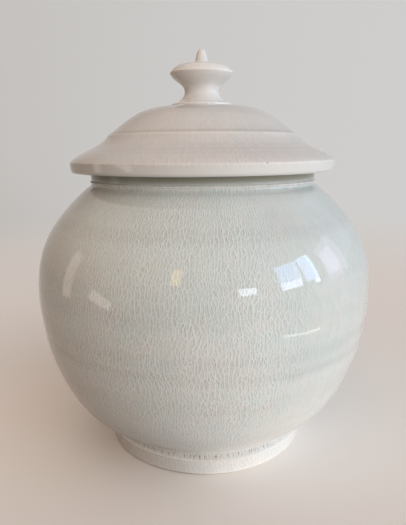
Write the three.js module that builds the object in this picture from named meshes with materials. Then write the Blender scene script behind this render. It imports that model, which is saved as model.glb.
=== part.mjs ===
// A wheel-thrown lidded jar in crackle-glazed stoneware.
// It comes apart into two loose pieces. The jar is a thrown body luted to a turned
// foot ring. The lid is a thrown dome luted to a locating flange below and a knob above.
// Millimetres, +Z up. The origin is the centre of the circle that the foot stands on.

import * as THREE from 'three';

// Main heights above the table
const jarHeight = 188.7; // rim of the jar
const bellyHeight = 108.8; // widest circle of the body
const footHeight = 19.2;

// Joints and clearances
const luteGap = 0.3; // slip joint between two members that are fired together
const seatGap = 0.3; // between the bare rim of the jar and the bare seat of the lid
const flangeClearance = 1.5; // radial play of the locating flange in the mouth

// Foot ring
const footRadius = 67.6; // outer edge of the face that stands on the table
const footWall = 8.6;
const footBevel = 0.8; // worn edges of the standing face
const footRidgeHeight = 10.5; // tooled ridge round the outside
const footRidgeProud = 1.3; // how far the ridge stands out past the standing edge
const footRidgeWidth = 1.6;
const footCoveDepth = 1.7; // cove above the ridge, measured in from the ridge

// Jar body, from the base up
const baseMargin = 0.8; // flat underside that shows outside the foot ring
const facetWidth = 7.8; // turned facet from the flat underside out to its crisp edge
const facetRise = 2.6;
const bellyRadius = 110.7;
const neckRadius = 73.5;
const neckHeight = 12.4; // from its root to the rim, mostly hidden by the lid
const neckCove = 5; // hollow corner between shoulder and neck, measured down the shoulder
const neckRidgeHeight = 1.2; // thin ridge round the neck, above its root
const neckRidgeProud = 0.9;
const neckRidgeWidth = 1.8;
const neckWall = 6;
const bodyWall = 6.2;
const floorThickness = 8.5;
const floorInset = 2.1; // inside corner of the floor, measured in from the turned edge
const floorFillet = 9; // rounding of that corner
const rimRounding = 1.8;

// Lid dome
const lidOverhang = 12.8; // how far the lid's rim stands out past the neck
const seatMargin = 1.5; // how far the flat seat runs out past the neck
const lidDrop = 5.7; // how far the lid's rim hangs below the seat
const lidRimHeight = 6.6; // face of the rim
const lidRimTaper = 0.9; // the face leans in by this much towards its lower edge
const lidRimRounding = 2.2; // lower edge of the rim
const lidDripWidth = 1.6; // flat lowest ring of the rim
const flareRise = 16.4; // from the rim's upper edge to the step below the dome
const stepOffset = 0.6; // step circle, measured out from the flange's inner wall
const stepWidth = 0.8; // small tooled step where flare and dome meet
const stepRise = 0.6;
const domeRise = 17.4; // from the step to the flat pad under the knob
const padMargin = 0.3; // pad round the foot of the knob
const lidWall = 6.2;

// Locating flange under the lid
const flangeWall = 5;
const flangeDepth = 14;
const flangeTaper = 0.8; // its outside leans in towards the lower end
const flangeRounding = 1.5;

// Knob
const knobFootRadius = 20.5;
const knobLip = 1.9; // thickness of the thin lip at its foot
const knobLipRun = 2; // rounded upper side of that lip
const waistRise = 8.8; // from the foot up to the waist
const waistRadius = 11.2;
const headRise = 11.2; // from the waist up to the sharp edge of the head
const headRadius = 20.5;
const headEdge = 0.5; // thickness of that edge
const crownRise = 5.8; // from the edge up to the root of the tip
const tipRadius = 4.1;
const tipRootWidth = 0.7; // small cove round the root of the tip
const tipRise = 9.1;

// Divisions round the axis
const bodyDivisions = 48;
const knobDivisions = 36;

const samePoint = 1e-6; // profile points closer than this count as one

const glazedBody = { color: 0xc7cdc4, roughness: 0.16, metalness: 0 };
const glazedFoot = { color: 0xcccfc9, roughness: 0.2, metalness: 0 };
const glazedLid = { color: 0xcac5be, roughness: 0.18, metalness: 0 };
const bareClay = { color: 0xc9b6a2, roughness: 0.85, metalness: 0 };

// Heights of the stacked members
const undersideHeight = footHeight + luteGap;
const turnedEdgeHeight = undersideHeight + facetRise;
const neckRootHeight = jarHeight - neckHeight;
const seatHeight = jarHeight + seatGap;
const lidRimBottom = seatHeight - lidDrop;
const lidRimTop = lidRimBottom + lidRimHeight;
const stepHeight = lidRimTop + flareRise;
const padHeight = stepHeight + stepRise + domeRise;
const knobFootHeight = padHeight + luteGap;
const waistHeight = knobFootHeight + waistRise;
const headHeight = waistHeight + headRise;
const tipRootHeight = headHeight + headEdge + crownRise;

// Radii of the members that fit each other
const footRidgeRadius = footRadius + footRidgeProud;
const footInnerRadius = footRadius - footWall;
const undersideRadius = footRidgeRadius + baseMargin;
const turnedEdgeRadius = undersideRadius + facetWidth;
const mouthRadius = neckRadius - neckWall;
const flangeRadius = mouthRadius - flangeClearance;
const flangeInnerRadius = flangeRadius - flangeWall;
const lidRimRadius = neckRadius + lidOverhang;
const stepRadius = flangeInnerRadius + stepOffset;
const padRadius = knobFootRadius + padMargin;

function point(radius, height) {
  return new THREE.Vector2(radius, height);
}

// Direction of travel along a profile: 0 is outward, 90 up, 180 inward, 270 down.
function heading(degrees) {
  const angle = THREE.MathUtils.degToRad(degrees);
  return point(Math.cos(angle), Math.sin(angle));
}

// A smooth curve between two points. Each end has its direction of travel and its pull,
// which is how firmly the curve keeps to that direction, as a share of the chord.
function sweep(start, startDegrees, startPull, end, endDegrees, endPull, steps) {
  const chord = start.distanceTo(end);
  const startHandle = start.clone().addScaledVector(heading(startDegrees), chord * startPull);
  const endHandle = end.clone().addScaledVector(heading(endDegrees), -chord * endPull);
  return new THREE.CubicBezierCurve(start, startHandle, endHandle, end).getPoints(steps);
}

// A rounded corner that starts and ends at the given distance from the corner point.
function rounded(before, corner, after, distance, steps) {
  const start = corner.clone().addScaledVector(before.clone().sub(corner).normalize(), distance);
  const end = corner.clone().addScaledVector(after.clone().sub(corner).normalize(), distance);
  return new THREE.QuadraticBezierCurve(start, corner, end).getPoints(steps);
}

// Joins points and curves into one profile and leaves out repeated points.
function joined(...pieces) {
  const points = pieces.flat();
  return points.filter((here, index) => index === 0 || here.distanceTo(points[index - 1]) > samePoint);
}

function turned(name, profile, divisions, finish) {
  const geometry = new THREE.LatheGeometry(profile, divisions);
  geometry.rotateX(Math.PI / 2);
  const mesh = new THREE.Mesh(geometry, new THREE.MeshStandardMaterial(finish));
  mesh.name = name;
  return mesh;
}

function footRing() {
  const ridgeLow = footRidgeHeight - footRidgeWidth / 2;
  const ridgeHigh = footRidgeHeight + footRidgeWidth / 2;
  const coveRadius = footRidgeRadius - footCoveDepth;
  const coveStart = point(coveRadius + footCoveDepth / 2, ridgeHigh);
  const coveEnd = point(footRidgeRadius, footHeight);
  const standing = point(footInnerRadius + footBevel, 0);
  const profile = joined(
    standing,
    point(footRadius - footBevel, 0),
    point(footRadius, footBevel),
    point(footRadius + footRidgeProud / 2, ridgeLow),
    point(footRidgeRadius, footRidgeHeight),
    sweep(coveStart, 110, 0.35, coveEnd, 70, 0.35, 4),
    point(footInnerRadius, footHeight),
    point(footInnerRadius, footBevel),
    standing,
  );
  return turned('foot_ring', profile, bodyDivisions, glazedFoot);
}

function neckAndRim(shoulderTop, shoulderSlope) {
  const ridgeMiddle = neckRootHeight + neckRidgeHeight;
  const ridgeLow = point(neckRadius, ridgeMiddle - neckRidgeWidth / 2);
  const outerCorner = point(neckRadius, jarHeight);
  const innerCorner = point(mouthRadius, jarHeight);
  const below = point(0, -1);
  const outerWall = outerCorner.clone().add(below);
  const innerWall = innerCorner.clone().add(below);
  return joined(
    sweep(shoulderTop, shoulderSlope, 0.35, ridgeLow, 90, 0.35, 3),
    point(neckRadius + neckRidgeProud, ridgeMiddle),
    point(neckRadius, ridgeMiddle + neckRidgeWidth / 2),
    rounded(outerWall, outerCorner, innerCorner, rimRounding, 3),
    rounded(outerCorner, innerCorner, innerWall, rimRounding, 3),
  );
}

function jarBody() {
  const turnedEdge = point(turnedEdgeRadius, turnedEdgeHeight);
  const belly = point(bellyRadius, bellyHeight);
  const shoulderSlope = 138;
  const neckRoot = point(neckRadius, neckRootHeight);
  const shoulderTop = neckRoot.clone().addScaledVector(heading(shoulderSlope), -neckCove);
  const innerRoot = point(mouthRadius, neckRootHeight - bodyWall / 2);
  const innerBelly = point(bellyRadius - bodyWall, bellyHeight);
  const floorHeight = undersideHeight + floorThickness;
  const floorCorner = point(turnedEdgeRadius - floorInset, floorHeight);
  const wallFoot = floorCorner.clone().addScaledVector(heading(45), floorFillet);
  const floorEdge = floorCorner.clone().addScaledVector(heading(180), floorFillet);
  const profile = joined(
    point(0, undersideHeight),
    point(undersideRadius, undersideHeight),
    sweep(turnedEdge, 36, 0.34, belly, 90, 0.29, 11),
    sweep(belly, 90, 0.44, shoulderTop, shoulderSlope, 0.33, 10),
    neckAndRim(shoulderTop, shoulderSlope),
    sweep(innerRoot, 318, 0.33, innerBelly, 270, 0.45, 8),
    sweep(innerBelly, 270, 0.38, wallFoot, 225, 0.25, 8),
    sweep(wallFoot, 225, 0.35, floorEdge, 180, 0.35, 3),
    point(0, floorHeight),
  );
  return turned('jar_body', profile, bodyDivisions, glazedBody);
}

function lidFlange() {
  const top = seatHeight - luteGap;
  const bottom = top - flangeDepth;
  const outerFoot = point(flangeRadius - flangeTaper, bottom);
  const innerFoot = point(flangeInnerRadius, bottom);
  const outerTop = point(flangeRadius, top);
  const innerTop = point(flangeInnerRadius, top);
  const lowerEnd = joined(
    rounded(innerTop, innerFoot, outerFoot, flangeRounding, 2),
    rounded(innerFoot, outerFoot, outerTop, flangeRounding, 2),
  );
  const profile = joined(lowerEnd, outerTop, innerTop, lowerEnd[0].clone());
  return turned('lid_flange', profile, bodyDivisions, bareClay);
}

function lidDome() {
  const innerTop = point(0, padHeight - lidWall);
  const innerCrown = point(padRadius, padHeight - lidWall);
  const innerSpring = point(stepRadius - lidWall, stepHeight - lidWall / 2);
  const innerSeat = point(flangeInnerRadius, seatHeight);
  const seatEdge = point(neckRadius + seatMargin, seatHeight);
  const rimUpper = point(lidRimRadius, lidRimTop);
  const rimLower = point(lidRimRadius - lidRimTaper, lidRimBottom);
  const dripInner = point(rimLower.x - lidRimRounding - lidDripWidth, lidRimBottom);
  const step = point(stepRadius, stepHeight);
  const domeFoot = point(stepRadius - stepWidth, stepHeight + stepRise);
  const pad = point(padRadius, padHeight);
  const profile = joined(
    innerTop,
    sweep(innerCrown, 0, 0.45, innerSpring, 300, 0.35, 7),
    sweep(innerSpring, 300, 0.35, innerSeat, 270, 0.35, 3),
    seatEdge,
    dripInner,
    rounded(dripInner, rimLower, rimUpper, lidRimRounding, 3),
    sweep(rimUpper, 129, 0.27, step, 123, 0.33, 9),
    sweep(domeFoot, 144, 0.36, pad, 180, 0.48, 9),
    point(0, padHeight),
  );
  return turned('lid_dome', profile, bodyDivisions, glazedLid);
}

function knob() {
  const lipTop = knobFootHeight + knobLip;
  const lipEdge = point(knobFootRadius, knobFootHeight + knobLip / 2);
  const lipInner = point(knobFootRadius - knobLipRun, lipTop);
  const waist = point(waistRadius, waistHeight);
  const edgeLow = point(headRadius, headHeight);
  const edgeHigh = point(headRadius, headHeight + headEdge);
  const tipRoot = point(tipRadius + tipRootWidth, tipRootHeight);
  const tipFoot = point(tipRadius, tipRootHeight + tipRootWidth);
  const tipTop = point(0, tipRootHeight + tipRise);
  const profile = joined(
    point(0, knobFootHeight),
    point(knobFootRadius, knobFootHeight),
    lipEdge,
    sweep(lipInner, 190, 0.21, waist, 90, 0.35, 5),
    sweep(waist, 90, 0.38, edgeLow, 58, 0.47, 6),
    sweep(edgeHigh, 126, 0.47, tipRoot, 172, 0.44, 6),
    sweep(tipFoot, 96, 0.45, tipTop, 180, 0.3, 5),
  );
  return turned('knob', profile, knobDivisions, glazedLid);
}

const jar = new THREE.Group();
jar.add(jarBody(), footRing());

const lid = new THREE.Group();
lid.add(lidDome(), lidFlange(), knob());

const liddedJar = new THREE.Group();
liddedJar.add(jar, lid);

export default liddedJar;
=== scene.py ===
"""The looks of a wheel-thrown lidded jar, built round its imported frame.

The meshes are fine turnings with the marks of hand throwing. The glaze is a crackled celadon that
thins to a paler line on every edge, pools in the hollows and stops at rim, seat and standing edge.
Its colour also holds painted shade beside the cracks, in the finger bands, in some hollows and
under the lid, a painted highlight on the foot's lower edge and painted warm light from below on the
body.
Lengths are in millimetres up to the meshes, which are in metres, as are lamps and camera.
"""

from math import ceil, cos, pi, radians, sin, tan

import bpy
import numpy as np
from mathutils import Matrix, Quaternion, Vector


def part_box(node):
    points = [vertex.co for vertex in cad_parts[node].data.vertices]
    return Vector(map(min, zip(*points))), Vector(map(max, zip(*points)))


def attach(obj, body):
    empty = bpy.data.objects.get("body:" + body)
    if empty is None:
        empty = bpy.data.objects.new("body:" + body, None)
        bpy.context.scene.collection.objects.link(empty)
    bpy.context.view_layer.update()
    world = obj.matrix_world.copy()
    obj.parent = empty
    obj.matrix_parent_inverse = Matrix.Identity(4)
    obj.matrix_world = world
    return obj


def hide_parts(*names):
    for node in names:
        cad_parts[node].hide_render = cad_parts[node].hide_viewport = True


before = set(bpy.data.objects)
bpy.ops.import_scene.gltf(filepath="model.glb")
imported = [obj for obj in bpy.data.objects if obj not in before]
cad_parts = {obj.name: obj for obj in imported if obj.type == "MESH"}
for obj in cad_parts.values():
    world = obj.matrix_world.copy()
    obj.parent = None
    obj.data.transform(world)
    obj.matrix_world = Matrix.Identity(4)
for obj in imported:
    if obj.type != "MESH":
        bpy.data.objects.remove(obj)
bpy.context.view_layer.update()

MM = 0.001


# Sizes

def measures(node):
    """Outer radius, lowest height and highest height of a turned node, in millimetres."""
    low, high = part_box(node)
    return high.x / MM, low.z / MM, high.z / MM


BELLY_RADIUS, UNDERSIDE, JAR_RIM = measures("jar_body")
FOOT_RIDGE_RADIUS, TABLE, FOOT_TOP = measures("foot_ring")
LID_RADIUS, LID_BOTTOM, PAD = measures("lid_dome")
FLANGE_RADIUS, FLANGE_BOTTOM, _ = measures("lid_flange")
KNOB_RADIUS, KNOB_BOTTOM, TIP_TOP = measures("knob")

SEAM = 0.2  # how far a luted member runs into its neighbour, so that no gap shows

FOOT_RIDGE_PROUD = 1.3
FOOT_RIDGE_HEIGHT = 10.5
FOOT_RIDGE_WIDTH = 1.6
FOOT_RIDGE_SHARP = 0.3  # what the glaze takes off the ridge again
FOOT_COVE_DEPTH = 1.7
FOOT_WALL = 8.6
FOOT_BEVEL = 0.8
FOOT_RADIUS = FOOT_RIDGE_RADIUS - FOOT_RIDGE_PROUD
FOOT_INNER = FOOT_RADIUS - FOOT_WALL

UNDERSIDE_RADIUS = FOOT_RIDGE_RADIUS + 0.8
TURNED_EDGE = (UNDERSIDE_RADIUS + 7.8, UNDERSIDE + 2.6)
BELLY_HEIGHT = 108.8
SHOULDER_SLOPE = 138  # direction of travel where the shoulder meets the neck, in degrees
NECK_RADIUS = 73.5
NECK_ROOT = JAR_RIM - 12.4
NECK_COVE = 6
NECK_RIDGE_HEIGHT = NECK_ROOT + 1.2
NECK_RIDGE_PROUD = 1.3  # before the glaze rounds it
NECK_RIDGE_WIDTH = 1.8
MOUTH_RADIUS = NECK_RADIUS - 6
BODY_WALL = 6.2
JAR_FLOOR = UNDERSIDE + 8.5
JAR_FLOOR_RADIUS = TURNED_EDGE[0] - 2.1
JAR_FLOOR_FILLET = 9
RIM_ROUNDING = 1.8

SEAT = JAR_RIM + 0.3
SEAT_EDGE = NECK_RADIUS + 1.5
LID_RIM_HEIGHT = 6.6
LID_RIM_TAPER = 0.9
LID_RIM_ROUNDING = 2.2
LID_RIM_TOP = LID_BOTTOM + LID_RIM_HEIGHT
LID_DRIP_WIDTH = 1.6
LID_WALL = 6.2
FLANGE_WALL = 5
FLANGE_TAPER = 0.8
FLANGE_ROUNDING = 1.5
FLANGE_INNER = FLANGE_RADIUS - FLANGE_WALL
STEP_RADIUS = FLANGE_INNER + 0.6
STEP_HEIGHT = LID_RIM_TOP + 16.4
STEP_WIDTH = 0.9
STEP_RISE = 0.6
PAD_RADIUS = KNOB_RADIUS + 0.3

KNOB_LIP = 1.9
KNOB_LIP_RUN = 2
WAIST = (11.2, KNOB_BOTTOM + 8.8)
HEAD_HEIGHT = WAIST[1] + 11.2
HEAD_EDGE = 0.5
TIP_ROOT = HEAD_HEIGHT + HEAD_EDGE + 5.8
TIP_RADIUS = 4.1
TIP_COVE = 1.2


# Outlines

FINE_STEP = 0.1  # spacing at which an outline is rounded
ROUNDING_REACH = 4  # how far the rounding looks to each side, as a multiple of its softness
LONGEST_STEP = 1.6  # widest spacing of the rings of a mesh
WIDEST_TURN = 0.13  # most that an outline turns from one ring to the next, in radians


def spot(radius, height):
    return np.array((radius, height), float)


def heading(degrees):
    """Direction of travel along an outline: 0 is outward, 90 up, 180 inward, 270 down."""
    return spot(cos(radians(degrees)), sin(radians(degrees)))


def sweep(start, start_degrees, start_pull, end, end_degrees, end_pull, steps=80):
    """A smooth curve. Each end has its direction of travel and its pull, a share of the chord."""
    start, end = spot(*start), spot(*end)
    chord = np.linalg.norm(end - start)
    leave = start + heading(start_degrees) * chord * start_pull
    arrive = end - heading(end_degrees) * chord * end_pull
    t = np.linspace(0, 1, steps)[:, None]
    near_start = (1 - t)**3 * start + 3 * (1 - t)**2 * t * leave
    return near_start + 3 * (1 - t) * t**2 * arrive + t**3 * end


def rounded(before, corner, after, distance, steps=12):
    """A rounded corner that starts and ends at the given distance from the corner point."""
    before, corner, after = spot(*before), spot(*corner), spot(*after)
    start = corner + (before - corner) / np.linalg.norm(before - corner) * distance
    end = corner + (after - corner) / np.linalg.norm(after - corner) * distance
    t = np.linspace(0, 1, steps)[:, None]
    return (1 - t)**2 * start + 2 * (1 - t) * t * corner + t**2 * end


def rippled(points, depth, spacing):
    """Throwing rings: the outline waves to and fro across its own line."""
    along = lengths_along(points)
    slope = np.gradient(points, axis=0)
    across = np.column_stack((-slope[:, 1], slope[:, 0]))
    across /= np.linalg.norm(across, axis=1)[:, None]
    fade = np.sin(pi * along / along[-1])
    return points + across * (depth * fade * np.sin(2 * pi * along / spacing))[:, None]


def lengths_along(points):
    steps = np.linalg.norm(np.diff(points, axis=0), axis=1)
    return np.concatenate(([0], np.cumsum(steps)))


def spread(points, measure, count):
    """The same outline as count + 1 points that divide the given rising measure evenly."""
    places = np.linspace(0, measure[-1], count + 1)
    return np.column_stack([np.interp(places, measure, points[:, axis]) for axis in (0, 1)])


def finished(pieces, softness, closed):
    """Joins an outline, rounds its corners as a coat of glaze does, and spaces its points."""
    points = np.vstack([np.atleast_2d(piece) for piece in pieces])
    along = lengths_along(points)
    points = spread(points, along, round(along[-1] / FINE_STEP))
    reach = int(ROUNDING_REACH * softness / FINE_STEP)
    weights = np.exp(-0.5 * (np.arange(-reach, reach + 1) * FINE_STEP / softness)**2)
    weights /= weights.sum()
    if closed:
        before, after = points[-reach - 1:-1], points[1:reach + 1]
    else:
        before = 2 * points[0] - points[reach:0:-1]
        after = 2 * points[-1] - points[-2:-reach - 2:-1]
    wide = np.vstack((before, points, after))
    points = np.column_stack([np.convolve(wide[:, axis], weights, "valid") for axis in (0, 1)])
    steps = np.diff(points, axis=0)
    bearing = np.unwrap(np.arctan2(steps[:, 1], steps[:, 0]))
    turned_by = np.concatenate(([0], np.cumsum(np.abs(np.diff(bearing, prepend=bearing[0])))))
    need = lengths_along(points) / LONGEST_STEP + turned_by / WIDEST_TURN
    return spread(points, need, ceil(need[-1]))


def foot_outline():
    ridge_low = FOOT_RIDGE_HEIGHT - FOOT_RIDGE_WIDTH / 2
    ridge_high = FOOT_RIDGE_HEIGHT + FOOT_RIDGE_WIDTH / 2
    cove_start = (FOOT_RIDGE_RADIUS - FOOT_COVE_DEPTH / 2, ridge_high)
    standing = (FOOT_INNER + FOOT_BEVEL, TABLE)
    return finished([
        standing,
        (FOOT_RADIUS - FOOT_BEVEL, TABLE),
        (FOOT_RADIUS, TABLE + FOOT_BEVEL),
        (FOOT_RADIUS + FOOT_RIDGE_PROUD / 2, ridge_low),
        (FOOT_RIDGE_RADIUS + FOOT_RIDGE_SHARP, FOOT_RIDGE_HEIGHT),
        sweep(cove_start, 110, 0.35, (FOOT_RIDGE_RADIUS, FOOT_TOP), 70, 0.35),
        (FOOT_RIDGE_RADIUS, UNDERSIDE + SEAM),
        (FOOT_INNER, UNDERSIDE + SEAM),
        (FOOT_INNER, TABLE + FOOT_BEVEL),
        standing,
    ], softness=0.3, closed=True)


def body_outline():
    shoulder_top = spot(NECK_RADIUS, NECK_ROOT) - heading(SHOULDER_SLOPE) * NECK_COVE
    ridge_low = (NECK_RADIUS, NECK_RIDGE_HEIGHT - NECK_RIDGE_WIDTH / 2)
    ridge_high = (NECK_RADIUS, NECK_RIDGE_HEIGHT + NECK_RIDGE_WIDTH / 2)
    outer_corner = (NECK_RADIUS, JAR_RIM)
    inner_corner = (MOUTH_RADIUS, JAR_RIM)
    inner_root = (MOUTH_RADIUS, NECK_ROOT - BODY_WALL / 2)
    belly = (BELLY_RADIUS, BELLY_HEIGHT)
    inner_belly = (BELLY_RADIUS - BODY_WALL, BELLY_HEIGHT)
    floor_corner = spot(JAR_FLOOR_RADIUS, JAR_FLOOR)
    wall_foot = floor_corner + heading(45) * JAR_FLOOR_FILLET
    floor_edge = floor_corner + heading(180) * JAR_FLOOR_FILLET
    inside = np.vstack((
        sweep(inner_root, 318, 0.33, inner_belly, 270, 0.45),
        sweep(inner_belly, 270, 0.38, wall_foot, 225, 0.25),
    ))
    return finished([
        (0, UNDERSIDE),
        (UNDERSIDE_RADIUS, UNDERSIDE),
        sweep(TURNED_EDGE, 36, 0.34, belly, 90, 0.29),
        sweep(belly, 90, 0.44, shoulder_top, SHOULDER_SLOPE, 0.33),
        sweep(shoulder_top, SHOULDER_SLOPE, 0.35, ridge_low, 90, 0.35),
        (NECK_RADIUS + NECK_RIDGE_PROUD, NECK_RIDGE_HEIGHT),
        ridge_high,
        rounded(ridge_high, outer_corner, inner_corner, RIM_ROUNDING),
        rounded(outer_corner, inner_corner, inner_root, RIM_ROUNDING),
        rippled(inside, depth=0.35, spacing=8.5),
        sweep(wall_foot, 225, 0.35, floor_edge, 180, 0.35),
        (0, JAR_FLOOR),
    ], softness=0.4, closed=False)


def lid_outline():
    inner_crown = (PAD_RADIUS, PAD - LID_WALL)
    inner_spring = (STEP_RADIUS - LID_WALL, STEP_HEIGHT - LID_WALL / 2)
    rim_upper = (LID_RADIUS, LID_RIM_TOP)
    rim_lower = (LID_RADIUS - LID_RIM_TAPER, LID_BOTTOM)
    drip_inner = (rim_lower[0] - LID_RIM_ROUNDING - LID_DRIP_WIDTH, LID_BOTTOM)
    dome_foot = (STEP_RADIUS - STEP_WIDTH, STEP_HEIGHT + STEP_RISE)
    inner_dome = sweep(inner_crown, 0, 0.45, inner_spring, 300, 0.35)
    flare = sweep(rim_upper, 129, 0.27, (STEP_RADIUS, STEP_HEIGHT), 123, 0.33)
    return finished([
        (0, PAD - LID_WALL),
        rippled(inner_dome, depth=0.2, spacing=7),
        sweep(inner_spring, 300, 0.35, (FLANGE_INNER, SEAT), 270, 0.35),
        (SEAT_EDGE, SEAT),
        drip_inner,
        rounded(drip_inner, rim_lower, rim_upper, LID_RIM_ROUNDING),
        rippled(flare, depth=0.06, spacing=5),
        sweep(dome_foot, 144, 0.36, (PAD_RADIUS, PAD), 180, 0.48),
        (0, PAD),
    ], softness=0.35, closed=False)


def flange_outline():
    outer_foot = (FLANGE_RADIUS - FLANGE_TAPER, FLANGE_BOTTOM)
    inner_foot = (FLANGE_INNER, FLANGE_BOTTOM)
    outer_top = (FLANGE_RADIUS, SEAT + SEAM)
    inner_top = (FLANGE_INNER, SEAT + SEAM)
    lower_end = np.vstack((
        rounded(inner_top, inner_foot, outer_foot, FLANGE_ROUNDING),
        rounded(inner_foot, outer_foot, outer_top, FLANGE_ROUNDING),
    ))
    return finished([lower_end, outer_top, inner_top, lower_end[0]], softness=0.3, closed=True)


def knob_outline():
    lip_inner = (KNOB_RADIUS - KNOB_LIP_RUN, KNOB_BOTTOM + KNOB_LIP)
    tip_root = (TIP_RADIUS + TIP_COVE, TIP_ROOT)
    return finished([
        (0, PAD - SEAM),
        (KNOB_RADIUS, PAD - SEAM),
        (KNOB_RADIUS, KNOB_BOTTOM + KNOB_LIP / 2),
        sweep(lip_inner, 190, 0.21, WAIST, 90, 0.35),
        sweep(WAIST, 90, 0.38, (KNOB_RADIUS, HEAD_HEIGHT), 58, 0.47),
        sweep((KNOB_RADIUS, HEAD_HEIGHT + HEAD_EDGE), 126, 0.47, tip_root, 172, 0.44),
        sweep((TIP_RADIUS, TIP_ROOT + TIP_COVE), 101, 0.45, (0, TIP_TOP), 180, 0.3),
    ], softness=0.22, closed=False)


# Marks of hand throwing. Each thrown function moves places given as radius, height and angle, and
# returns x, y and z. Angle 0 is to the right, as the camera sees it.

# Bands left by the fingers on the body: height, depth and half width, and how far the band climbs
# to the right, because the wall rose as the wheel turned
FINGER_BANDS = [
    (163, 0.12, 2.4, -1.0),
    (154.5, 0.18, 2.2, 1.0),
    (112, 0.12, 3.5, -3.0),
    (91.8, 0.20, 2.6, -1.2),
    (81.8, 0.24, 2.4, -2.4),
    (62, 0.10, 4.0, 1.2),
]
# Fine throwing rings
RING_DEPTH = 0.008
RING_SPACING = 7.4
RING_FADE_SPACING = 61  # the body's rings come and go up the wall
FLANGE_RING_DEPTH = 0.05
FLANGE_RING_SPACING = 2.3
# Waves round a piece: size, how many go round, phase
BODY_WAVES = [(0.22, 2, 0.7), (0.12, 3, -1.1)]
FOOT_WAVES = [(0.1, 2, 2)]
LID_WAVES = [(0.15, 2, -0.5)]
FLANGE_WAVES = [(0.12, 2, 1)]
KNOB_WAVES = [(0.08, 2, 0)]
# Waves that lift and lower the body's rings, the foot's ridge and the lid's rim
RING_CLIMB = [(2.5, 1, -0.6)]
FOOT_TILT = [(0.18, 1, -2.4)]
LID_SAG = [(0.35, 1, 0), (0.15, 3, 0.4), (0.08, 5, 0)]
# Heights over which the body starts and stops straying from the round, and the foot tilting
BODY_STRAY_START = (26, 36)
BODY_STRAY_END = (162, 172)
FOOT_TILT_START = (2, 8)
FOOT_TILT_END = (15, 19)
FOOT_OFFSET = 0.7  # the foot was set this far to the right of the body's axis
KNOB_LEAN = -0.15  # sideways shift of the head of the knob, which was set a little askew


def smooth(value, low, high):
    """Rises smoothly from 0 at low to 1 at high."""
    t = np.clip((value - low) / (high - low), 0, 1)
    return t * t * (3 - 2 * t)


def between(height, start, end):
    """1 between a gradual start and a gradual end, and 0 outside them."""
    return smooth(height, *start) * (1 - smooth(height, *end))


def waves(angle, terms):
    """Height of the given waves round a piece, added up."""
    return sum(size * np.cos(count * angle + phase) for size, count, phase in terms)


def rings(height, spacing, phase=0):
    """Waves up a piece, from -1 to 1."""
    return np.sin(2 * pi * height / spacing + phase)


def laid_out(radius, height, angle, shift=0):
    return radius * np.cos(angle) + shift, radius * np.sin(angle), height


def band_depth(height, angle):
    depth = 0 * height * angle
    for level, deepest, half_width, climb in FINGER_BANDS:
        off = height - level - climb * np.cos(angle)
        depth = depth + deepest * np.exp(-0.5 * (off / half_width)**2)
    return depth


def thrown_body(radius, height, angle):
    level = height + waves(angle, RING_CLIMB)
    push = waves(angle, BODY_WAVES) - band_depth(height, angle)
    push = push + RING_DEPTH * rings(level, RING_SPACING) * rings(level, RING_FADE_SPACING, angle)
    stray = between(height, BODY_STRAY_START, BODY_STRAY_END)
    return laid_out(radius + push * stray * radius / BELLY_RADIUS, height, angle)


def thrown_foot(radius, height, angle):
    tilt = waves(angle, FOOT_TILT) * between(height, FOOT_TILT_START, FOOT_TILT_END)
    return laid_out(radius + waves(angle, FOOT_WAVES), height + tilt, angle, FOOT_OFFSET)


def thrown_lid(radius, height, angle):
    rim = smooth(radius, SEAT_EDGE + 1, LID_RADIUS)
    out = radius + rim * waves(angle, LID_WAVES)
    return laid_out(out, height + rim * waves(angle, LID_SAG), angle)


def thrown_flange(radius, height, angle):
    ripple = FLANGE_RING_DEPTH * rings(height, FLANGE_RING_SPACING)
    return laid_out(radius + waves(angle, FLANGE_WAVES) + ripple, height, angle)


def thrown_knob(radius, height, angle):
    lean = KNOB_LEAN * smooth(height, KNOB_BOTTOM, HEAD_HEIGHT)
    return laid_out(radius + waves(angle, KNOB_WAVES), height, angle, lean)


# Meshes

DIVISIONS = 192
KNOB_DIVISIONS = 128


def near(outline, places, width):
    """1 on the given places of an outline, falling away to 0 over about twice the width."""
    gaps = [np.linalg.norm(outline - spot(*place), axis=1) for place in places]
    return np.exp(-0.5 * (np.min(gaps, axis=0) / width)**2)


def even_marks(height, angle):
    """Crackle that shows alike all round."""
    return {"crazed": np.ones(len(angle))}


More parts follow.
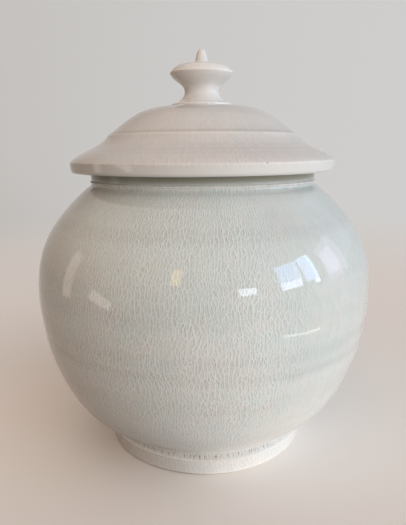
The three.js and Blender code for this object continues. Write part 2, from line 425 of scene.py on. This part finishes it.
def turned(name, outline, closed, girth, shape, masks, material, marks=even_marks,
           divisions=DIVISIONS):
    """A closed turned mesh.

    Its points keep the masks, which follow the outline, the marks, which may also change with the
    angle, their place along the outline and the girth radius.
    """
    loops = outline[:-1] if closed else outline[1:-1]
    angles = np.arange(divisions) * 2 * pi / divisions
    radius = np.repeat(loops[:, :1], divisions, axis=1)
    height = np.repeat(loops[:, 1:], divisions, axis=1)
    places = np.stack(np.broadcast_arrays(*shape(radius, height, angles[None, :])), axis=-1)
    points = places.reshape(-1, 3)
    count = len(loops)
    loop = np.arange(count if closed else count - 1)[:, None]
    following = (loop + 1) % count
    here = np.arange(divisions)[None, :]
    beside = (here + 1) % divisions
    corners = [loop * divisions + here, loop * divisions + beside,
               following * divisions + beside, following * divisions + here]
    faces = np.stack(np.broadcast_arrays(*corners), axis=-1).reshape(-1, 4).tolist()
    sources = np.repeat(np.arange(count) + (0 if closed else 1), divisions)
    if not closed:
        ends = [np.hstack(shape(end[:1], end[1:], np.zeros(1))) for end in outline[[0, -1]]]
        first, last = len(points), len(points) + 1
        top = (count - 1) * divisions
        faces += [(first, int(b), int(a)) for a, b in zip(here[0], beside[0])]
        faces += [(last, int(top + a), int(top + b)) for a, b in zip(here[0], beside[0])]
        points = np.vstack((points, ends))
        sources = np.concatenate((sources, [0, len(outline) - 1]))
    mesh = bpy.data.meshes.new(name)
    mesh.from_pydata((points * MM).tolist(), [], faces)
    mesh.polygons.foreach_set("use_smooth", np.ones(len(mesh.polygons), bool))
    layers = {**masks, "along": lengths_along(outline), "girth": np.full(len(outline), girth)}
    layers = {mask: values[sources] for mask, values in layers.items()}
    layers.update(marks(outline[sources, 1], np.arctan2(points[:, 1], points[:, 0])))
    for mask, values in layers.items():
        layer = mesh.attributes.new(mask, "FLOAT", "POINT")
        layer.data.foreach_set("value", values.astype(np.float32))
    mesh.materials.append(material)
    mesh.update()
    piece = bpy.data.objects.new(name, mesh)
    bpy.context.scene.collection.objects.link(piece)
    return piece


# Materials

NOISE_RANGE = (0.3, 0.7)  # where nearly all of Blender's noise lies


class Tree:
    """Short calls that add nodes to the tree of one material or world."""

    def __init__(self, owner):
        owner.use_nodes = True
        self.nodes = owner.node_tree.nodes
        self.links = owner.node_tree.links
        self.nodes.clear()

    def add(self, kind, inputs=None, **settings):
        node = self.nodes.new("ShaderNode" + kind)
        for key, value in settings.items():
            setattr(node, key, value)
        for key, value in (inputs or {}).items():
            self.feed(node.inputs[key], value)
        return node

    def feed(self, socket, value):
        if isinstance(value, bpy.types.NodeSocket):
            self.links.new(value, socket)
        else:
            socket.default_value = value

    def math(self, operation, first, second=0.0):
        return self.add("Math", {0: first, 1: second}, operation=operation).outputs[0]

    def plus(self, first, second):
        return self.math("ADD", first, second)

    def times(self, first, second):
        return self.math("MULTIPLY", first, second)

    def vector(self, operation, first, second):
        return self.add("VectorMath", {0: first, 1: second}, operation=operation).outputs[0]

    def dot(self, first, second):
        node = self.add("VectorMath", {0: first, 1: second}, operation="DOT_PRODUCT")
        return node.outputs["Value"]

    def scaled(self, colour, factor):
        node = self.add("VectorMath", {0: colour, "Scale": factor}, operation="SCALE")
        return node.outputs[0]

    def mix(self, factor, first, second):
        node = self.add("Mix", {0: factor, 6: first, 7: second}, data_type="RGBA")
        return node.outputs[2]

    def ramp(self, value, low, high, start, end):
        inputs = {"Value": value, "From Min": low, "From Max": high, "To Min": start, "To Max": end}
        return self.add("MapRange", inputs, interpolation_type="SMOOTHSTEP").outputs[0]

    def noise(self, place, size, detail=2.0):
        """Even noise, with features of about the given size in millimetres."""
        return self.add("TexNoise", {"Vector": place, "Scale": 1 / size, "Detail": detail})

    def varied(self, place, size, detail, low, high, within=NOISE_RANGE):
        """Noise spread from low to high, over the given range of its own values."""
        return self.ramp(self.noise(place, size, detail).outputs[0], *within, low, high)

    def cells(self, place, size, feature, dimensions="3D", randomness=1.0):
        inputs = {"Vector": place, "Scale": 1 / size, "Randomness": randomness}
        return self.add("TexVoronoi", inputs, feature=feature, voronoi_dimensions=dimensions)

    def mask(self, name):
        """A layer of the mesh, or 0 where the mesh has none of that name."""
        return self.add("Attribute", attribute_name=name).outputs["Fac"]


CLAY = (0.56, 0.45, 0.36, 1)
CLAY_DARK = (0.40, 0.29, 0.21, 1)
CLAY_GRAIN = 0.5  # size
CLAY_GRAIN_DEPTH = 0.06
CLAY_FLECK_SPACING = 3.2
TOASTED = (0.52, 0.31, 0.19, 1)  # line of toasted clay along the edge of a glaze
EDGE_GLAZE_AND_HIGHLIGHT = (0.83, 0.81, 0.775, 1)  # glaze thinned over pale clay, and a painted highlight on the foot's lower edge
COOL_GLAZE = (0.64, 0.645, 0.62, 1)  # thicker glaze, where its green shows
POOL_AND_SHADE_GLAZE = (0.225, 0.22, 0.155, 1)  # thick glaze in a hollow, and painted shade under the lid and in some hollows
POOL_AND_SHADE_COVER = 0.9  # how far pooled glaze and its painted shade hide the colour under it
CRACK_STAIN = (0.20, 0.17, 0.14, 1)  # stain in the cracks of thick glaze
IRON_SPECK = (0.20, 0.13, 0.08, 1)
IRON_SPECK_SPACING = 19

# Crackle. A fine net lies over a coarse one: width and height of their cells
COARSE_CELL = (2.1875, 5.425)
FINE_CELL = (1.575, 3.325)
FINE_NET_SHIFT = (311, 173, 53)  # keeps the two nets apart
CRACK_HALF_WIDTH = 0.44
CRACK_PALE = (1.225, 1.265, 1.285)  # colour of a crack, as a multiple of the glaze beside it
CRACK_WANDER = [(26, 11), (5, 1.6)]  # cracks lean in patches and bend finely: size, shift
CELL_RANDOMNESS = 0.85
LEVEL_CRACKS = 0.45  # width of the level sides of a cell, as a share of the upright ones
PAINTED_SHADE_EDGE = 2.4  # outer edge of the painted shade to the left of a crack, in its half widths
PAINTED_SHADE_ON_RIGHT = 0.15  # what there is of that painted shade to the right of a crack
PAINTED_SHADE_TURN = 0.3  # sideways step between cells by which the painted shade is all on one side
PAINTED_SHADE_STRENGTH = 0.25  # how much darker the painted shade beside a crack is, as though lit from the right
TICK_CELL = (1.6, 8)  # stained cracks: width and height of the cell round each
GROOVE_SHADE = 0.45  # painted shade in a groove, partly its thicker glaze: how much darker it is, for each millimetre of its depth

GLOSS = (0.03, 0.06)  # roughness of the glaze
CRACK_ROUGHNESS = 0.012
POOL_ROUGHNESS = 0.2
BARE_ROUGHNESS = 0.82
GLAZE_IOR = 1.5
PEEL_SIZE = 2.6  # faint unevenness of the glaze
PEEL_DEPTH = 0.012
CRACK_RELIEF = 0.2  # height of a crack, as a share of that depth
BARE_GRAIN_DEPTH = 0.05


def millimetres(tree):
    return tree.scaled(tree.add("TexCoord").outputs["Object"], 1 / MM)


def clay_colour(tree, place):
    grain = tree.varied(place, 0.7, 4, 0.9, 1.06, within=(0.35, 0.68))
    cloud = tree.varied(place, 14, 3, 0.93, 1.05)
    ground = tree.scaled(CLAY[:3], tree.times(grain, cloud))
    distance = tree.cells(place, CLAY_FLECK_SPACING, "F1").outputs["Distance"]
    return tree.mix(tree.ramp(distance, 0.09, 0.13, 0.7, 0), ground, CLAY_DARK)


def clay(name):
    """Bare fired stoneware: matt and grainy, with fine dark flecks."""
    material = bpy.data.materials.new(name)
    tree = Tree(material)
    place = millimetres(tree)
    grain = tree.noise(place, CLAY_GRAIN, 4).outputs[0]
    bump = tree.add("Bump", {"Height": grain, "Strength": 0.6, "Distance": CLAY_GRAIN_DEPTH * MM})
    shader = tree.add("BsdfPrincipled", {
        "Base Color": clay_colour(tree, place),
        "Roughness": tree.ramp(grain, *NOISE_RANGE, 0.78, 0.9),
        "Normal": bump.outputs[0],
    })
    tree.add("OutputMaterial", {"Surface": shader.outputs[0]})
    return material


def unrolled(tree, place):
    """Where a place lies on the unrolled surface: round from the front, and along the outline."""
    parts = tree.add("SeparateXYZ", {0: place}).outputs
    angle = tree.math("ARCTAN2", parts[0], tree.times(parts[1], -1))
    around = tree.times(angle, tree.mask("girth"))
    return tree.add("CombineXYZ", {0: around, 1: tree.mask("along")}).outputs[0]


def crackle(tree, place, sheet, cell_size):
    """A net of fine cracks, 1 on its lines, painted shade to their left and a number for each cell.

    The cells stand tall, and their level sides are finer lines than their upright sides.
    """
    wide, tall = cell_size
    for size, shift in CRACK_WANDER:
        wander = tree.noise(place, size, 2).outputs["Color"]
        bend = tree.vector("SUBTRACT", wander, (0.5, 0.5, 0.5))
        sheet = tree.vector("ADD", sheet, tree.scaled(bend, shift))
    sheet = tree.vector("MULTIPLY", sheet, (1, wide / tall, 0))
    inside = tree.cells(sheet, wide, "F1", "2D", CELL_RANDOMNESS).outputs
    across = tree.cells(sheet, wide, "F2", "2D", CELL_RANDOMNESS).outputs
    step = tree.vector("SUBTRACT", across["Position"], inside["Position"])
    middle = tree.scaled(tree.vector("ADD", across["Position"], inside["Position"]), 0.5)
    to_side = tree.vector("SUBTRACT", middle, sheet)
    upright = tree.vector("MULTIPLY", step, (1, LEVEL_CRACKS * wide / tall, 0))
    length = tree.math("SQRT", tree.dot(upright, upright))
    gap = tree.math("DIVIDE", tree.dot(to_side, step), length)
    lines = tree.ramp(gap, 0, CRACK_HALF_WIDTH, 1, 0)
    # painted shade to the left of each crack, as though lit from the right
    to_right = tree.add("SeparateXYZ", {0: step}).outputs[0]
    on_left = tree.ramp(to_right, -PAINTED_SHADE_TURN, PAINTED_SHADE_TURN, PAINTED_SHADE_ON_RIGHT, 1)
    beside = tree.ramp(gap, CRACK_HALF_WIDTH, PAINTED_SHADE_EDGE * CRACK_HALF_WIDTH, 1, 0)
    painted_shade = tree.times(beside, on_left)
    cell = tree.add("SeparateColor", {0: inside["Color"]}).outputs[0]
    return lines, painted_shade, cell


def glaze(name, ground, warm_ground, net_strength):
    """Crackled celadon glaze; masks give its thinning, pools, stops, painted shade and painted
    highlight.
    """
    material = bpy.data.materials.new(name)
    tree = Tree(material)
    place = millimetres(tree)

    # Crackle
    sheet = unrolled(tree, place)
    shifted = tree.vector("ADD", sheet, FINE_NET_SHIFT)
    coarse, painted_shade, cell = crackle(tree, place, sheet, COARSE_CELL)
    fine, fine_painted_shade, _ = crackle(tree, place, shifted, FINE_CELL)
    patchy = tree.varied(place, 12, 2, 0.5, 0.9, within=(0.32, 0.66))
    crazed = tree.mask("crazed")
    net = tree.times(tree.math("MAXIMUM", coarse, tree.times(fine, patchy)), crazed)
    painted_shade = tree.times(tree.math("MAXIMUM", painted_shade, tree.times(fine_painted_shade, patchy)), crazed)

    # Colour, with clouds, bands round the piece, cells that differ a little, and painted shade
    # beside the cracks and in the grooves
    cloud = tree.noise(place, 55, 3).outputs[0]
    band_place = tree.vector("MULTIPLY", place, (0.05, 0.05, 1))
    bands = tree.varied(band_place, 9, 2, 0.97, 1.025)
    tone = tree.times(tree.ramp(cloud, *NOISE_RANGE, 0.97, 1.02), bands)
    tone = tree.times(tone, tree.ramp(cell, 0, 1, 0.97, 1.02))
    # painted shade to the left of each crack
    tone = tree.math("SUBTRACT", tone, tree.times(painted_shade, PAINTED_SHADE_STRENGTH * net_strength))
    # painted shade in the finger bands, partly thicker glaze
    tone = tree.math("SUBTRACT", tone, tree.times(tree.mask("groove"), GROOVE_SHADE))
    mottle = tree.times(tree.plus(cloud, tree.noise(place, 11, 2).outputs[0]), 0.5)
    # random warm mottling, plus the warmth mask, which on the body paints warm light from below
    warmth = tree.plus(tree.ramp(mottle, 0.4, 0.6, 0, 1), tree.mask("warmth"))
    colour = tree.mix(warmth, ground, warm_ground)
    colour = tree.scaled(colour, tree.plus(1.0, tree.mask("paler")))
    pale = tree.vector("MULTIPLY", colour, CRACK_PALE)
    colour = tree.scaled(colour, tone)
    colour = tree.mix(tree.times(net, net_strength), colour, pale)

    # Where the glaze is thick or thinned, with painted shade and highlight there, stained cracks
    # and specks
    colour = tree.mix(tree.mask("cool"), colour, COOL_GLAZE)
    ragged = tree.varied(place, 3, 3, 0.55, 1)
    colour = tree.mix(tree.times(tree.mask("thin_and_highlight"), ragged), colour, EDGE_GLAZE_AND_HIGHLIGHT)
    # pooled glaze, with painted shade under the lid's overhang and in some hollows
    colour = tree.mix(tree.times(tree.mask("pool_and_shade"), POOL_AND_SHADE_COVER), colour, POOL_AND_SHADE_GLAZE)
    tick_wide, tick_tall = TICK_CELL
    tick_sheet = tree.vector("MULTIPLY", sheet, (1, tick_wide / tick_tall, 0))
    tick_distance = tree.cells(tick_sheet, tick_wide, "F1", "2D").outputs["Distance"]
    ticks = tree.ramp(tick_distance, 0.1, 0.42, 0.85, 0)
    kept = tree.varied(place, 9, 2, 0.3, 1, within=(0.36, 0.52))
    stain = tree.times(tree.mask("stain"), tree.times(ticks, kept))
    colour = tree.mix(stain, colour, CRACK_STAIN)
    speck_distance = tree.cells(place, IRON_SPECK_SPACING, "F1").outputs["Distance"]
    colour = tree.mix(tree.ramp(speck_distance, 0.014, 0.026, 0.75, 0), colour, IRON_SPECK)

    # The ragged edge where the glaze stops
    edge = tree.plus(tree.mask("bare"), tree.times(tree.math("SUBTRACT", ragged, 0.78), 0.5))
    colour = tree.mix(tree.ramp(edge, 0.3, 0.5, 0, 0.55), colour, TOASTED)
    bare = tree.ramp(edge, 0.45, 0.6, 0, 1)
    colour = tree.mix(bare, colour, clay_colour(tree, place))

    # Gloss and relief
    gloss = tree.varied(place, 9, 3, *GLOSS)
    gloss = tree.plus(gloss, tree.times(net, CRACK_ROUGHNESS))
    gloss = tree.plus(gloss, tree.times(tree.mask("pool_and_shade"), POOL_ROUGHNESS))
    roughness = tree.math("MAXIMUM", gloss, tree.times(bare, BARE_ROUGHNESS))
    peel = tree.plus(tree.noise(place, PEEL_SIZE, 2).outputs[0], tree.times(net, CRACK_RELIEF))
    glaze_bump = tree.add("Bump", {"Height": peel, "Strength": 0.5, "Distance": PEEL_DEPTH * MM})
    grain = tree.times(tree.noise(place, CLAY_GRAIN, 4).outputs[0], bare)
    bump = tree.add("Bump", {
        "Height": grain,
        "Distance": BARE_GRAIN_DEPTH * MM,
        "Normal": glaze_bump.outputs[0],
    })
    shader = tree.add("BsdfPrincipled", {
        "Base Color": colour,
        "Roughness": roughness,
        "IOR": GLAZE_IOR,
        "Normal": bump.outputs[0],
    })
    tree.add("OutputMaterial", {"Surface": shader.outputs[0]})
    return material


BODY_GROUND = (0.56, 0.60, 0.578, 1)
BODY_WARM = (0.592, 0.595, 0.566, 1)
FOOT_GROUND = (0.69, 0.69, 0.665, 1)
FOOT_WARM = (0.71, 0.69, 0.655, 1)
LID_GROUND = (0.585, 0.572, 0.552, 1)
LID_WARM = (0.60, 0.566, 0.536, 1)

body_glaze = glaze("body_glaze", BODY_GROUND, BODY_WARM, net_strength=0.95)
foot_glaze = glaze("foot_glaze", FOOT_GROUND, FOOT_WARM, net_strength=0.6)
lid_glaze = glaze("lid_glaze", LID_GROUND, LID_WARM, net_strength=0.4)
bare_clay = clay("bare_clay")


# Pieces. Their masks: thin, pool and cool are the thickness of the glaze, though thin also holds a
# painted highlight on the foot's lower edge and pool painted shade under the lid and in some
# hollows;
# stain is where its cracks are stained, bare is where it stops, and paler and warmth shift its
# colour, which on the body paints warm light from below.

CRAZED_RIGHT = 0.3  # how much of the crackle shows at the right of the body
CRAZED_TURN = (0.2, 0.65)  # cosines of the angle between which it fades
KNOB_CRAZED = 0.3
KNOB_PALER = 0.28
KNOB_COOL = 0.4
SMALL_GIRTH = 0.8  # lid and knob are unrolled at this share of their radius


def place_piece(piece, node, body):
    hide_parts(node)
    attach(piece, body)


def body_marks(height, angle):
    """The crackle shows least round to the right, and the finger bands are darker: painted shade,
    partly thicker glaze.
    """
    faded = (1 - CRAZED_RIGHT) * smooth(np.cos(angle), *CRAZED_TURN)
    return {"crazed": 1 - faded, "groove": band_depth(height, angle)}


def knob_marks(height, angle):
    return {"crazed": np.full(len(angle), KNOB_CRAZED)}


def make_body():
    outline = body_outline()
    radius, height = outline.T
    neck_ridge = (NECK_RADIUS + 0.8, NECK_RIDGE_HEIGHT)
    under_ridge = (NECK_RADIUS + 0.6, NECK_RIDGE_HEIGHT - 2)
    # painted shade under the lid's overhang: the neck darkens upward from its ridge, with thick
    # glaze pooled there
    neck = smooth(height, NECK_RIDGE_HEIGHT - 0.5, NECK_RIDGE_HEIGHT + 4)
    masks = {
        "thin_and_highlight": near(outline, [TURNED_EDGE], 0.7) + near(outline, [neck_ridge], 0.8),
        "pool_and_shade": neck * (radius > NECK_RADIUS - 2),
        "stain": 0.4 * near(outline, [under_ridge], 1.2),
        "bare": smooth(height, JAR_RIM - 3, JAR_RIM - 1.5),
        # lighter and warmer towards the bottom: painted warm light bounced up from below
        "paler": np.interp(height, (35, 170), (0.01, -0.02)),
        "warmth": np.interp(height, (40, 150), (0.35, -0.35)),
    }
    piece = turned("body_glazed", outline, closed=False, girth=BELLY_RADIUS, shape=thrown_body,
                   masks=masks, material=body_glaze, marks=body_marks)
    place_piece(piece, "jar_body", "jar")


def make_foot():
    outline = foot_outline()
    height = outline[:, 1]
    ridge = (FOOT_RIDGE_RADIUS, FOOT_RIDGE_HEIGHT)
    lower_edge = (FOOT_RADIUS, FOOT_BEVEL)
    cove_radius = FOOT_RIDGE_RADIUS - FOOT_COVE_DEPTH
    masks = {
        # the pale line on the lower edge is glaze thinned there and partly a painted highlight
        "thin_and_highlight": near(outline, [ridge, lower_edge], 0.6),
        # painted shade of the body's overhang on the foot's upper band, with a little pooled glaze
        "pool_and_shade": 0.15 * near(outline, [(cove_radius, FOOT_RIDGE_HEIGHT + 3)], 2),
        "stain": near(outline, [(cove_radius, FOOT_RIDGE_HEIGHT + 2.4)], 1.0),
        "bare": 1 - smooth(height, 0.05, 0.3),
    }
    piece = turned("foot_glazed", outline, closed=True, girth=FOOT_RADIUS, shape=thrown_foot,
                   masks=masks, material=foot_glaze)
    place_piece(piece, "foot_ring", "jar")


def make_lid():
    outline = lid_outline()
    radius, height = outline.T
    rim_edge = (LID_RADIUS, LID_RIM_TOP)
    step_edge = (STEP_RADIUS, STEP_HEIGHT)
    step_hollow = (STEP_RADIUS - STEP_WIDTH - 0.6, STEP_HEIGHT + STEP_RISE + 0.5)
    underside = 1 - smooth(height, SEAT + 0.3, SEAT + 1.5)
    below_edge = 1 - smooth(height, LID_RIM_TOP - 1.5, LID_RIM_TOP)
    masks = {
        "thin_and_highlight": 0.45 * near(outline, [rim_edge, step_edge], 0.55),
        # a line of painted shade above the step, with glaze pooled there
        "pool_and_shade": 0.4 * near(outline, [step_hollow], 0.8),
        "bare": underside * (1 - smooth(radius, SEAT_EDGE - 0.5, SEAT_EDGE + 1)),
        "cool": 0.8 * smooth(radius, SEAT_EDGE, SEAT_EDGE + 2) * below_edge,
    }
    piece = turned("lid_glazed", outline, closed=False, girth=SMALL_GIRTH * LID_RADIUS,
                   shape=thrown_lid, masks=masks, material=lid_glaze)
    place_piece(piece, "lid_dome", "lid")


def make_flange():
    piece = turned("flange_bare", flange_outline(), closed=True, girth=FLANGE_RADIUS,
                   shape=thrown_flange, masks={}, material=bare_clay)
    place_piece(piece, "lid_flange", "lid")


def make_knob():
    outline = knob_outline()
    head_edge = (KNOB_RADIUS, HEAD_HEIGHT + HEAD_EDGE)
    lip_edge = (KNOB_RADIUS, KNOB_BOTTOM + KNOB_LIP / 2)
    masks = {
        "thin_and_highlight": 0.5 * near(outline, [head_edge, lip_edge], 0.5),
        "pool_and_shade": 0.35 * near(outline, [(TIP_RADIUS + TIP_COVE, TIP_ROOT)], 0.7),
        "paler": np.full(len(outline), KNOB_PALER),
        "cool": np.full(len(outline), KNOB_COOL),
    }
    piece = turned("knob_glazed", outline, closed=False, girth=SMALL_GIRTH * KNOB_RADIUS,
                   shape=thrown_knob, masks=masks, material=lid_glaze, marks=knob_marks,
                   divisions=KNOB_DIVISIONS)
    place_piece(piece, "knob", "lid")


make_body()
make_foot()
make_lid()
make_flange()
make_knob()


# Stage: floor, room light, windows and camera. Directions are given as azimuth and elevation in
# degrees: azimuth 0 is straight behind the camera and 90 is to its right.

scene = bpy.context.scene
scene.view_settings.view_transform = "Standard"

STAGE_RADIUS = 40000
STAGE_SIDES = 96
STAGE_GAP = 0.2  # keeps the stage's floor just clear of the standing face
STAGE_COLOUR = (0.86, 0.825, 0.785, 1)
STAGE_BOUNCE = (0.10, 0.08, 0.06, 1)  # what it gives back to the jar, apart from its glow
STAGE_GLOW = (1.16, 1.07, 1.02, 1)  # soft light from the floor that isn't seen itself
STAGE_GLOW_FROM = (53, 0, 0.33)  # its direction, and the cosine at its edge
STAGE_FADE = (0.2, 1.4)  # distances in metres between which the floor fades into the backdrop

# Soft light from round the room: azimuth, elevation, cosine at its edge, radiance
ROOM_LIGHT = [
    (-25, 45, 0.3, (0.47, 0.21, 0.05)),
    (5, 38, 0.35, (0.26, 0.265, 0.275)),
    (30, 2, 0.45, (1.44, 1.41, 1.37)),
    (60, -3, 0.25, (0.75, 1.05, 1.25)),
    (90, 5, 0.25, (0.05, 0.12, 0.28)),
    (165, 15, 0.5, (0.85, 0.83, 0.78)),
    (-150, 15, 0.5, (0.80, 0.78, 0.74)),
]
BACKDROP_DIRECTION = (130, 0)  # where the backdrop is palest
BACKDROP_DIM = (0.34, 0.295, 0.25, 1)
BACKDROP_PALE = (0.63, 0.62, 0.61, 1)
CEILING_DIRECTION = (-60, 60, 0.35)
CEILING = (0.9, 0.85, 0.75)  # added high above, where only the gloss shows it

# Panes of light that only the gloss shows, as seen from a spot on the body: azimuth, elevation,
# width and height in degrees, radiance, and for those close by the distance, the spot and the roll
RIGHT_FRONT = Vector((0.05, -0.095, 0.134))
LEFT_FRONT = Vector((-0.065, -0.085, 0.126))
WINDOW_DISTANCE = 3
WINDOWS = {
    "left_pane": (59, 21.6, 16.2, 15.5, (1.7, 3.3, 6.0)),
    "left_sill": (58.5, 11, 16, 6.2, (6.0, 6.8, 9.0)),
    "right_pane": (74.4, 19.8, 9, 20, (2.5, 3.9, 7.0)),
    "right_edge": (79.8, 18, 2.2, 23.5, (3.6, 5.4, 7.8)),
    "right_sill": (78.7, 8.2, 4, 3.5, (5.4, 6.4, 6.8)),
    "far_pane": (96.5, 15.5, 13, 17, (1.0, 1.0, 1.7)),
    "far_haze": (100, 16, 22, 26, (0.7, 0.7, 1.1)),
    "open_sky": (113, 27, 44, 36, (0.2, 0.23, 0.35)),
    "sunny_strip": (27.4, 12, 11.5, 5.6, (6.0, 6.6, 7.4)),
    "low_line": (65.5, -30, 31, 1.7, (3.1, 3.2, 3.1), 0.2, RIGHT_FRONT, 6),
    "warm_lamp": (-20, 26.5, 6.5, 16, (3.8, 2.3, 0.7)),
    "left_strip": (-99, 7, 9.5, 33, (1.1, 1.0, 0.85), 0.5, LEFT_FRONT),
    "left_patch": (-67, -4, 19, 9, (2.0, 1.9, 1.7), 0.5, LEFT_FRONT, -25),
}

# The photograph's camera: frame height and focal length in pixels, angles in degrees
FRAME_HEIGHT = 525
FOCAL_LENGTH = 498.5
CAMERA_PLACE = Vector((-0.0003, -0.3405, 0.1966))
CAMERA_TILT = 12.68  # down from level
CAMERA_ROLL = -0.47
CAMERA_CLIP = (0.01, 200)
SENSOR_WIDTH = 36


def direction(azimuth, elevation):
    """Unit vector from the jar."""
    flat = cos(radians(elevation))
    across, back = sin(radians(azimuth)) * flat, cos(radians(azimuth)) * flat
    return Vector((across, -back, sin(radians(elevation))))


def facing(tree, towards, azimuth, elevation, dim_cosine=-1):
    """From 0 well away from the given direction to 1 straight towards it."""
    return tree.ramp(tree.dot(towards, direction(azimuth, elevation)), dim_cosine, 1, 0, 1)


def backdrop(tree, towards):
    wall = tree.mix(facing(tree, towards, *BACKDROP_DIRECTION), BACKDROP_DIM, BACKDROP_PALE)
    ceiling = tree.scaled(CEILING, facing(tree, towards, *CEILING_DIRECTION))
    return tree.vector("ADD", wall, ceiling)


def is_seen(tree):
    """1 for what the camera sees, straight or by way of gloss or glass."""
    path = tree.add("LightPath").outputs
    seen = tree.math("MAXIMUM", path["Is Camera Ray"], path["Is Glossy Ray"])
    return tree.math("MAXIMUM", seen, path["Is Transmission Ray"])


def make_floor():
    """A pale floor that fades into the backdrop, so that no horizon shows."""
    material = bpy.data.materials.new("floor")
    tree = Tree(material)
    place = tree.add("NewGeometry").outputs["Position"]
    distance = tree.add("VectorMath", {0: place}, operation="LENGTH").outputs["Value"]
    towards = tree.add("VectorMath", {0: place}, operation="NORMALIZE").outputs[0]
    seen = is_seen(tree)
    fade = tree.times(tree.ramp(distance, *STAGE_FADE, 0, 1), seen)
    lit = tree.add("BsdfDiffuse", {"Color": tree.mix(seen, STAGE_BOUNCE, STAGE_COLOUR)})
    unseen = tree.math("SUBTRACT", 1.0, seen)
    glowing = tree.times(facing(tree, towards, *STAGE_GLOW_FROM), unseen)
    glow = tree.add("Emission", {"Color": STAGE_GLOW, "Strength": glowing})
    lit = tree.add("AddShader", {0: lit.outputs[0], 1: glow.outputs[0]})
    far = tree.add("Emission", {"Color": backdrop(tree, towards)})
    shader = tree.add("MixShader", {0: fade, 1: lit.outputs[0], 2: far.outputs[0]})
    tree.add("OutputMaterial", {"Surface": shader.outputs[0]})
    turns = [2 * pi * side / STAGE_SIDES for side in range(STAGE_SIDES)]
    radius = STAGE_RADIUS * MM
    rim = [(radius * cos(turn), radius * sin(turn), -STAGE_GAP * MM) for turn in turns]
    mesh = bpy.data.meshes.new("floor")
    mesh.from_pydata(rim, [], [range(STAGE_SIDES)])
    mesh.materials.append(material)
    floor = bpy.data.objects.new("floor", mesh)
    scene.collection.objects.link(floor)


def light_room():
    """Soft light: strongest in front, warm at the left, cool at the right, and some from behind."""
    world = bpy.data.worlds.new("studio")
    scene.world = world
    tree = Tree(world)
    towards = tree.add("TexCoord").outputs["Generated"]
    light = (0.0, 0.0, 0.0)
    for azimuth, elevation, edge, radiance in ROOM_LIGHT:
        part = tree.scaled(radiance, facing(tree, towards, azimuth, elevation, edge))
        light = tree.vector("ADD", part, light)
    colour = tree.mix(is_seen(tree), light, backdrop(tree, towards))
    background = tree.add("Background", {"Color": colour})
    tree.add("OutputWorld", {"Surface": background.outputs[0]})


def window(name, azimuth, elevation, wide, tall, radiance, distance=WINDOW_DISTANCE,
           seen_from=RIGHT_FRONT, roll=0):
    """A pane of light that spans the given angles, as seen from a spot on the body."""
    data = bpy.data.lights.new(name, "AREA")
    data.shape = "RECTANGLE"
    data.size = 2 * distance * tan(radians(wide / 2))
    data.size_y = 2 * distance * tan(radians(tall / 2))
    strength = max(radiance)
    data.color = [part / strength for part in radiance]
    data.energy = pi * data.size * data.size_y * strength
    lamp = bpy.data.objects.new(name, data)
    towards = direction(azimuth, elevation)
    lamp.location = seen_from + towards * distance
    rolled = Quaternion((0, 0, 1), radians(roll))
    lamp.rotation_euler = (towards.to_track_quat("Z", "Y") @ rolled).to_euler()
    lamp.visible_camera = False
    lamp.visible_diffuse = False
    scene.collection.objects.link(lamp)


def make_camera():
    """At the photograph's viewing angle, with its whole frame on the sensor's long side."""
    data = bpy.data.cameras.new("camera")
    data.sensor_width = SENSOR_WIDTH
    data.lens = data.sensor_width * FOCAL_LENGTH / FRAME_HEIGHT
    data.clip_start, data.clip_end = CAMERA_CLIP
    camera = bpy.data.objects.new("camera", data)
    tilted = Matrix.Rotation(radians(90 - CAMERA_TILT), 4, "X")
    rolled = Matrix.Rotation(radians(CAMERA_ROLL), 4, "Z")
    camera.matrix_world = Matrix.Translation(CAMERA_PLACE) @ tilted @ rolled
    scene.collection.objects.link(camera)
    scene.camera = camera


make_floor()
light_room()
for window_name, window_values in WINDOWS.items():
    window(window_name, *window_values)
make_camera()
